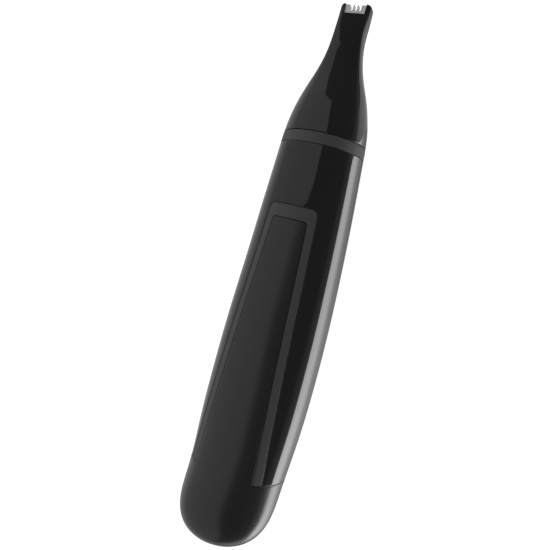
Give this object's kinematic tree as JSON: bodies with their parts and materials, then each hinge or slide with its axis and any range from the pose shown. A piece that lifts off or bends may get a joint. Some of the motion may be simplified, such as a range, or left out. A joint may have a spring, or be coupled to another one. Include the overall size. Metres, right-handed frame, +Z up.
{
  "type": "nose hair trimmer",
  "caption": "Battery nose hair trimmer lying on its back: glossy oval handle, framed front panel, collar and a tapered head with a notched cutting tip.",
  "frame": {"origin": "bottom centre of the bounding box, on the table under the middle of the length", "axes": "+Y along the handle towards the cutting head, +Z up out of the front panel, +X towards the right flank seen from the front"},
  "size_m": [0.0272, 0.1397, 0.0288],
  "materials": {
    "gloss_black": "high gloss moulded",
    "matte_grey": "fine matte",
    "satin_grey": "satin",
    "inner_plastic": "moulded, unpolished",
    "acetal": "natural acetal",
    "rubber_black": "matte",
    "blade_steel": "ground",
    "spring_steel": "bright",
    "zinc_steel": "plated",
    "brass_strip": "stamped",
    "bell_blue": "moulded",
    "ceramic_amber": "dipped",
    "wire_red": "insulation",
    "wire_black": "insulation",
    "sleeve_green": "printed film, left plain"
  },
  "bodies": {
    "handle": {"body_shell": "gloss_black", "frame_trim": "matte_grey", "collar_ring": "matte_grey", "rest_plate": "rubber_black", "chassis": "inner_plastic", "chassis_screws": "zinc_steel", "bulkhead": "inner_plastic", "motor_can": "zinc_steel", "motor_bell": "bell_blue", "motor_terminals": "brass_strip", "motor_capacitor": "ceramic_amber", "positive_contact": "brass_strip", "negative_strip": "brass_strip", "lead_red": "wire_red", "lead_black": "wire_black", "switch_contact": "brass_strip"},
    "cover": {"battery_cover": "satin_grey", "cap_plate": "brass_strip", "cap_spring": "spring_steel"},
    "battery": {"battery_can": "zinc_steel", "battery_sleeve": "sleeve_green", "battery_terminal": "zinc_steel"},
    "head": {"head_shell": "gloss_black", "head_base": "inner_plastic", "head_seal": "rubber_black", "fixed_blade": "blade_steel", "blade_rivets": "zinc_steel", "blade_spring": "spring_steel", "lever_pin": "spring_steel"},
    "lever": {"drive_lever": "acetal"},
    "cutter": {"moving_blade": "blade_steel"},
    "rotor": {"motor_shaft": "spring_steel", "eccentric_cam": "acetal"},
    "switch": {"switch_knob": "matte_grey", "switch_slider": "acetal"}
  },
  "joints": [
    {"name": "head_pull", "type": "slide", "parent": "handle", "child": "head", "axis": [0, 1, 0], "range_m": [0, 0.03]},
    {"name": "lever_rock", "type": "hinge", "parent": "head", "child": "lever", "pos_m": [0, 0.04805, 0.01335], "axis": [0, 0, 1], "range_deg": [-2, 2]},
    {"name": "cutter_slide", "type": "slide", "parent": "head", "child": "cutter", "axis": [-1, 0, 0], "range_m": [-0.00056, 0.00056]},
    {"name": "motor_spin", "type": "hinge", "parent": "handle", "child": "rotor", "pos_m": [0, 0.02905, 0.01295], "axis": [0, 1, 0], "continuous": true},
    {"name": "switch_slide", "type": "slide", "parent": "handle", "child": "switch", "axis": [0, 1, 0], "range_m": [0, 0.0035]},
    {"name": "cover_slide", "type": "slide", "parent": "handle", "child": "cover", "axis": [0, -1, 0], "range_m": [0, 0.095]},
    {"name": "battery_slide", "type": "slide", "parent": "handle", "child": "battery", "axis": [0, -1, 0], "range_m": [0, 0.0575]}
  ],
  "couplings": [
    {"joint": "cutter_slide", "follows": "lever_rock", "m_per_rad": 0.0155},
    {"joint": "battery_slide", "follows": "cover_slide", "ratio": 0.6}
  ]
}
